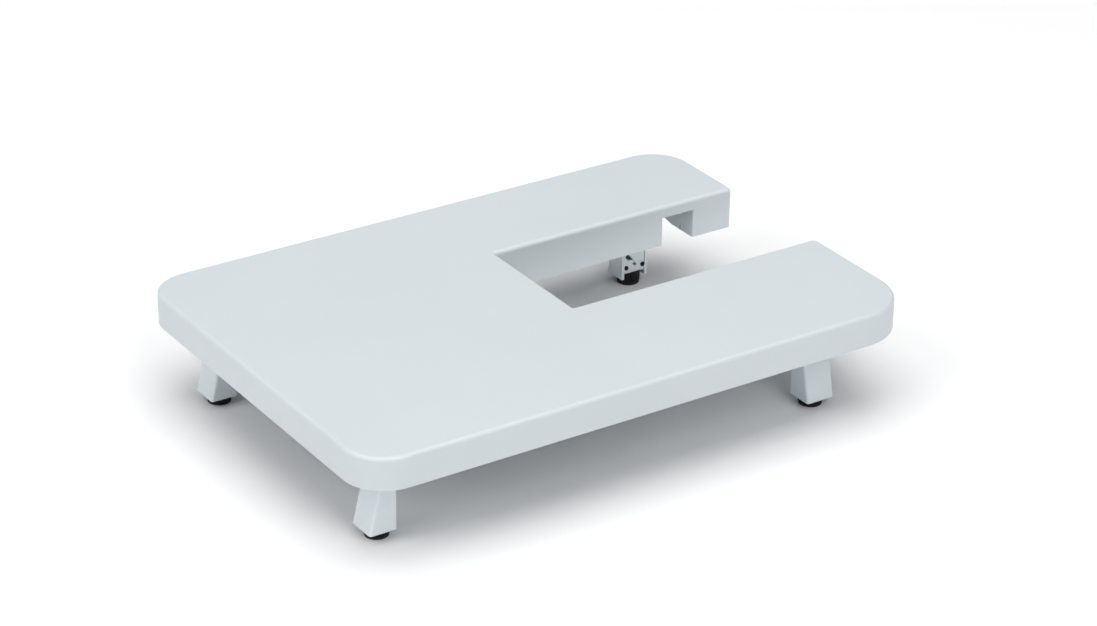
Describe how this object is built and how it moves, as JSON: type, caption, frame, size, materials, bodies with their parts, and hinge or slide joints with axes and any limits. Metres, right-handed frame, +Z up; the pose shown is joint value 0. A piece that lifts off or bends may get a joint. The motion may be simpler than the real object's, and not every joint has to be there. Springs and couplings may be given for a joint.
{
  "type": "sewing machine extension table",
  "caption": "Low moulded work surface with a cut-out, open at one end, for a sewing machine's free arm, on folding legs with levelling screw feet.",
  "frame": {"origin": "on the surface that the feet stand on, under the middle of the top", "axes": "+Z up; +X along the long side, towards the open end of the cut-out; +Y towards the long side with the notch behind the cut-out"},
  "size_m": [0.48, 0.333, 0.088],
  "materials": {
    "top_plastic": "smooth satin moulding, pale cool grey",
    "leg_plastic": "satin moulding, pale cool grey",
    "cover_plastic": "satin moulding, pale cool grey",
    "knob_plastic": "fine-textured black moulding",
    "foot_rubber": "matt black rubber",
    "zinc_steel": "zinc-plated sheet and fasteners",
    "bright_steel": "turned bright steel",
    "black_steel": "black-oxide steel"
  },
  "bodies": {
    "table": {"table_top": "top_plastic", "bracket_screws": "zinc_steel", "pivot_clips": "bright_steel", "spring_washers": "bright_steel", "hinge_bracket_front_left": "zinc_steel", "hinge_bracket_back_left": "zinc_steel", "hinge_bracket_front_right": "zinc_steel", "hinge_bracket_back_right": "zinc_steel", "pivot_pin_front_left": "bright_steel", "pivot_pin_back_left": "bright_steel", "pivot_pin_front_right": "bright_steel", "pivot_pin_back_right": "bright_steel"},
    "leg_front_left": {"leg_shell_front_left": "leg_plastic", "leg_cover_front_left": "cover_plastic", "cover_screws_front_left": "black_steel", "foot_nut_front_left": "zinc_steel"},
    "pad_front_left": {"foot_pad_front_left": "foot_rubber"},
    "knob_front_left": {"foot_knob_front_left": "knob_plastic", "foot_stud_front_left": "bright_steel"},
    "leg_back_left": {"leg_shell_back_left": "leg_plastic", "leg_cover_back_left": "cover_plastic", "cover_screws_back_left": "black_steel", "foot_nut_back_left": "zinc_steel"},
    "pad_back_left": {"foot_pad_back_left": "foot_rubber"},
    "knob_back_left": {"foot_knob_back_left": "knob_plastic", "foot_stud_back_left": "bright_steel"},
    "leg_front_right": {"leg_shell_front_right": "leg_plastic", "leg_cover_front_right": "cover_plastic", "cover_screws_front_right": "black_steel", "foot_nut_front_right": "zinc_steel"},
    "pad_front_right": {"foot_pad_front_right": "foot_rubber"},
    "knob_front_right": {"foot_knob_front_right": "knob_plastic", "foot_stud_front_right": "bright_steel"},
    "leg_back_right": {"leg_shell_back_right": "leg_plastic", "leg_cover_back_right": "cover_plastic", "cover_screws_back_right": "black_steel", "foot_nut_back_right": "zinc_steel"},
    "pad_back_right": {"foot_pad_back_right": "foot_rubber"},
    "knob_back_right": {"foot_knob_back_right": "knob_plastic", "foot_stud_back_right": "bright_steel"}
  },
  "joints": [
    {"name": "fold_front_left", "type": "hinge", "parent": "table", "child": "leg_front_left", "pos_m": [-0.1999, -0.1159, 0.07], "axis": [1, 0, 0], "range_deg": [0, 90]},
    {"name": "level_front_left", "type": "slide", "parent": "leg_front_left", "child": "pad_front_left", "axis": [0, 0, -1], "range_m": [0, 0.008]},
    {"name": "spin_front_left", "type": "hinge", "parent": "pad_front_left", "child": "knob_front_left", "pos_m": [-0.2039, -0.1169, 0], "axis": [0, 0, -1], "range_deg": [0, 3605]},
    {"name": "fold_back_left", "type": "hinge", "parent": "table", "child": "leg_back_left", "pos_m": [-0.1999, 0.1159, 0.07], "axis": [-1, 0, 0], "range_deg": [0, 90]},
    {"name": "level_back_left", "type": "slide", "parent": "leg_back_left", "child": "pad_back_left", "axis": [0, 0, -1], "range_m": [0, 0.008]},
    {"name": "spin_back_left", "type": "hinge", "parent": "pad_back_left", "child": "knob_back_left", "pos_m": [-0.2039, 0.1169, 0], "axis": [0, 0, -1], "range_deg": [0, 3605]},
    {"name": "fold_front_right", "type": "hinge", "parent": "table", "child": "leg_front_right", "pos_m": [0.1753, -0.1184, 0.07], "axis": [0, 1, 0], "range_deg": [0, 90]},
    {"name": "level_front_right", "type": "slide", "parent": "leg_front_right", "child": "pad_front_right", "axis": [0, 0, -1], "range_m": [0, 0.008]},
    {"name": "spin_front_right", "type": "hinge", "parent": "pad_front_right", "child": "knob_front_right", "pos_m": [0.1763, -0.1224, 0], "axis": [0, 0, -1], "range_deg": [0, 3605]},
    {"name": "fold_back_right", "type": "hinge", "parent": "table", "child": "leg_back_right", "pos_m": [0.1753, 0.1184, 0.07], "axis": [0, 1, 0], "range_deg": [0, 90]},
    {"name": "level_back_right", "type": "slide", "parent": "leg_back_right", "child": "pad_back_right", "axis": [0, 0, -1], "range_m": [0, 0.008]},
    {"name": "spin_back_right", "type": "hinge", "parent": "pad_back_right", "child": "knob_back_right", "pos_m": [0.1763, 0.1224, 0], "axis": [0, 0, -1], "range_deg": [0, 3605]}
  ],
  "couplings": [
    {"joint": "spin_front_left", "follows": "level_front_left", "rad_per_m": 7854},
    {"joint": "spin_back_left", "follows": "level_back_left", "rad_per_m": 7854},
    {"joint": "spin_front_right", "follows": "level_front_right", "rad_per_m": 7854},
    {"joint": "spin_back_right", "follows": "level_back_right", "rad_per_m": 7854}
  ]
}
